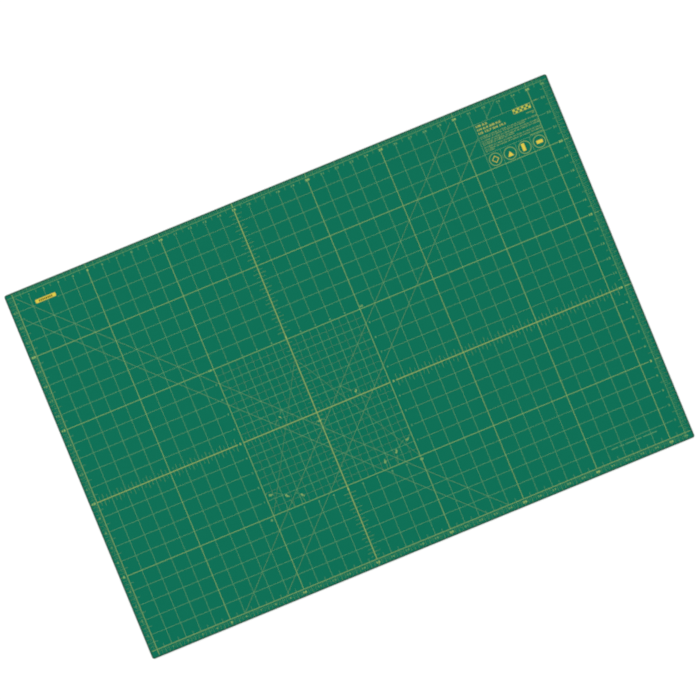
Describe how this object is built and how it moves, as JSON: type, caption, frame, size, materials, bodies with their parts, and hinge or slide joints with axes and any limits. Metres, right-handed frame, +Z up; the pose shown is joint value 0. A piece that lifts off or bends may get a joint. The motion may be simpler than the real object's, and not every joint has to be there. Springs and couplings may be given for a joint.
{
  "type": "self-healing cutting mat",
  "caption": "Large flat laminated cutting mat of soft green sheets on a stiff core, with a printed inch grid, edge rulers and angle lines.",
  "frame": {"origin": "middle of the underside, on the surface that the mat lies on", "axes": "+X along the long side as the numbers count up, +Y towards the top edge of the print, +Z up out of the printed face"},
  "size_m": [0.9394, 0.6294, 0.0022],
  "materials": {
    "soft_green_pvc": "fine matte grain",
    "soft_green_pvc_reverse": "fine matte grain",
    "firm_green_pvc": "sheared edge",
    "stiff_grey_core": "sheared edge",
    "ink_fine_lines": "thin screen print",
    "ink_bold_lines": "screen print"
  },
  "bodies": {
    "root": {"bottom_cutting_sheet": "soft_green_pvc_reverse", "lower_backing_sheet": "firm_green_pvc", "core_sheet": "stiff_grey_core", "upper_backing_sheet": "firm_green_pvc", "top_cutting_sheet": "soft_green_pvc", "upright_inch_lines": "ink_fine_lines", "across_inch_lines": "ink_fine_lines", "over_square_lines": "ink_fine_lines", "beside_square_lines": "ink_fine_lines", "square_inch_lines": "ink_fine_lines", "half_inch_lines": "ink_fine_lines", "top_ruler": "ink_fine_lines", "right_ruler": "ink_fine_lines", "five_inch_lines": "ink_bold_lines", "centre_cross": "ink_bold_lines", "centre_ruler_left": "ink_bold_lines", "centre_ruler_right": "ink_bold_lines", "centre_ruler_bottom": "ink_bold_lines", "centre_ruler_top": "ink_bold_lines", "angle_lines_45": "ink_fine_lines", "angle_lines_60": "ink_fine_lines"}
  },
  "joints": []
}
